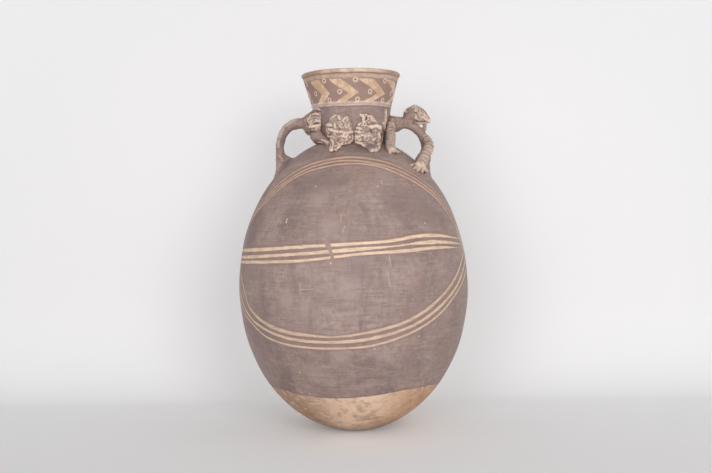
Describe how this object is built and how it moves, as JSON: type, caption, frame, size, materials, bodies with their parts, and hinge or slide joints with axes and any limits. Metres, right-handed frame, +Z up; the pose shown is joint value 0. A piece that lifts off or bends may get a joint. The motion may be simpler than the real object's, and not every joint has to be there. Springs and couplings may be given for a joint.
{
  "type": "effigy vessel",
  "caption": "Egg-shaped fired-clay jar with a flared collar, loop handles modelled as animals and crouching animal figures round its neck.",
  "frame": {"origin": "centre of the flat foot under the jar, on the surface it stands on", "axes": "+Z up along the jar's axis, -Y towards the front with the clearest figures, +X towards the handle that is a whole animal"},
  "size_m": [0.2724, 0.2724, 0.423],
  "materials": {
    "dark_slip": "burnished dark mauve-brown slip, mottled grey, with painted cream lines",
    "rubbed_slip": "dark slip over modelled clay, rubbed to cream on its high parts",
    "bare_clay": "unslipped tan fired clay with cream and brown mottling",
    "cream_slip": "matte cream slip, worn"
  },
  "bodies": {
    "root": {"base_bowl": "bare_clay", "lower_wall": "dark_slip", "belly_wall": "dark_slip", "upper_wall": "dark_slip", "shoulder": "dark_slip", "neck_tube": "dark_slip", "collar": "dark_slip", "rim_coil": "cream_slip", "left_handle": "rubbed_slip", "right_handle": "rubbed_slip", "left_head_skull": "rubbed_slip", "left_head_upper_lip": "rubbed_slip", "left_head_lower_lip": "rubbed_slip", "left_head_nose": "rubbed_slip", "left_head_eye": "rubbed_slip", "left_head_jaw": "rubbed_slip", "left_arm_front": "rubbed_slip", "left_arm_back": "rubbed_slip", "right_rump": "rubbed_slip", "right_hind_leg_front": "rubbed_slip", "right_hind_leg_back": "rubbed_slip", "right_fore_leg_front": "rubbed_slip", "right_fore_leg_back": "rubbed_slip", "right_head_skull": "rubbed_slip", "right_head_muzzle": "rubbed_slip", "right_head_jaw": "rubbed_slip", "right_head_near_ear": "rubbed_slip", "right_head_crown": "rubbed_slip", "right_head_brow": "rubbed_slip", "right_head_eye": "rubbed_slip", "front_right_figure_body": "rubbed_slip", "front_right_figure_back_ridge": "rubbed_slip", "front_right_figure_head": "rubbed_slip", "front_right_figure_paw": "rubbed_slip", "front_right_figure_eye_ring": "rubbed_slip", "front_right_figure_arm": "rubbed_slip", "front_right_figure_foot": "rubbed_slip", "front_left_figure_body": "rubbed_slip", "front_left_figure_leg": "rubbed_slip", "front_left_figure_head": "rubbed_slip", "front_left_figure_ear": "rubbed_slip", "front_left_figure_arm": "rubbed_slip", "front_left_figure_paw": "rubbed_slip", "front_left_figure_eye_ring": "rubbed_slip", "back_right_figure_body": "rubbed_slip", "back_right_figure_back_ridge": "rubbed_slip", "back_right_figure_head": "rubbed_slip", "back_right_figure_paw": "rubbed_slip", "back_right_figure_eye_ring": "rubbed_slip", "back_right_figure_arm": "rubbed_slip", "back_right_figure_foot": "rubbed_slip", "back_left_figure_body": "rubbed_slip", "back_left_figure_leg": "rubbed_slip", "back_left_figure_head": "rubbed_slip", "back_left_figure_ear": "rubbed_slip", "back_left_figure_arm": "rubbed_slip", "back_left_figure_paw": "rubbed_slip", "back_left_figure_eye_ring": "rubbed_slip"}
  },
  "joints": []
}
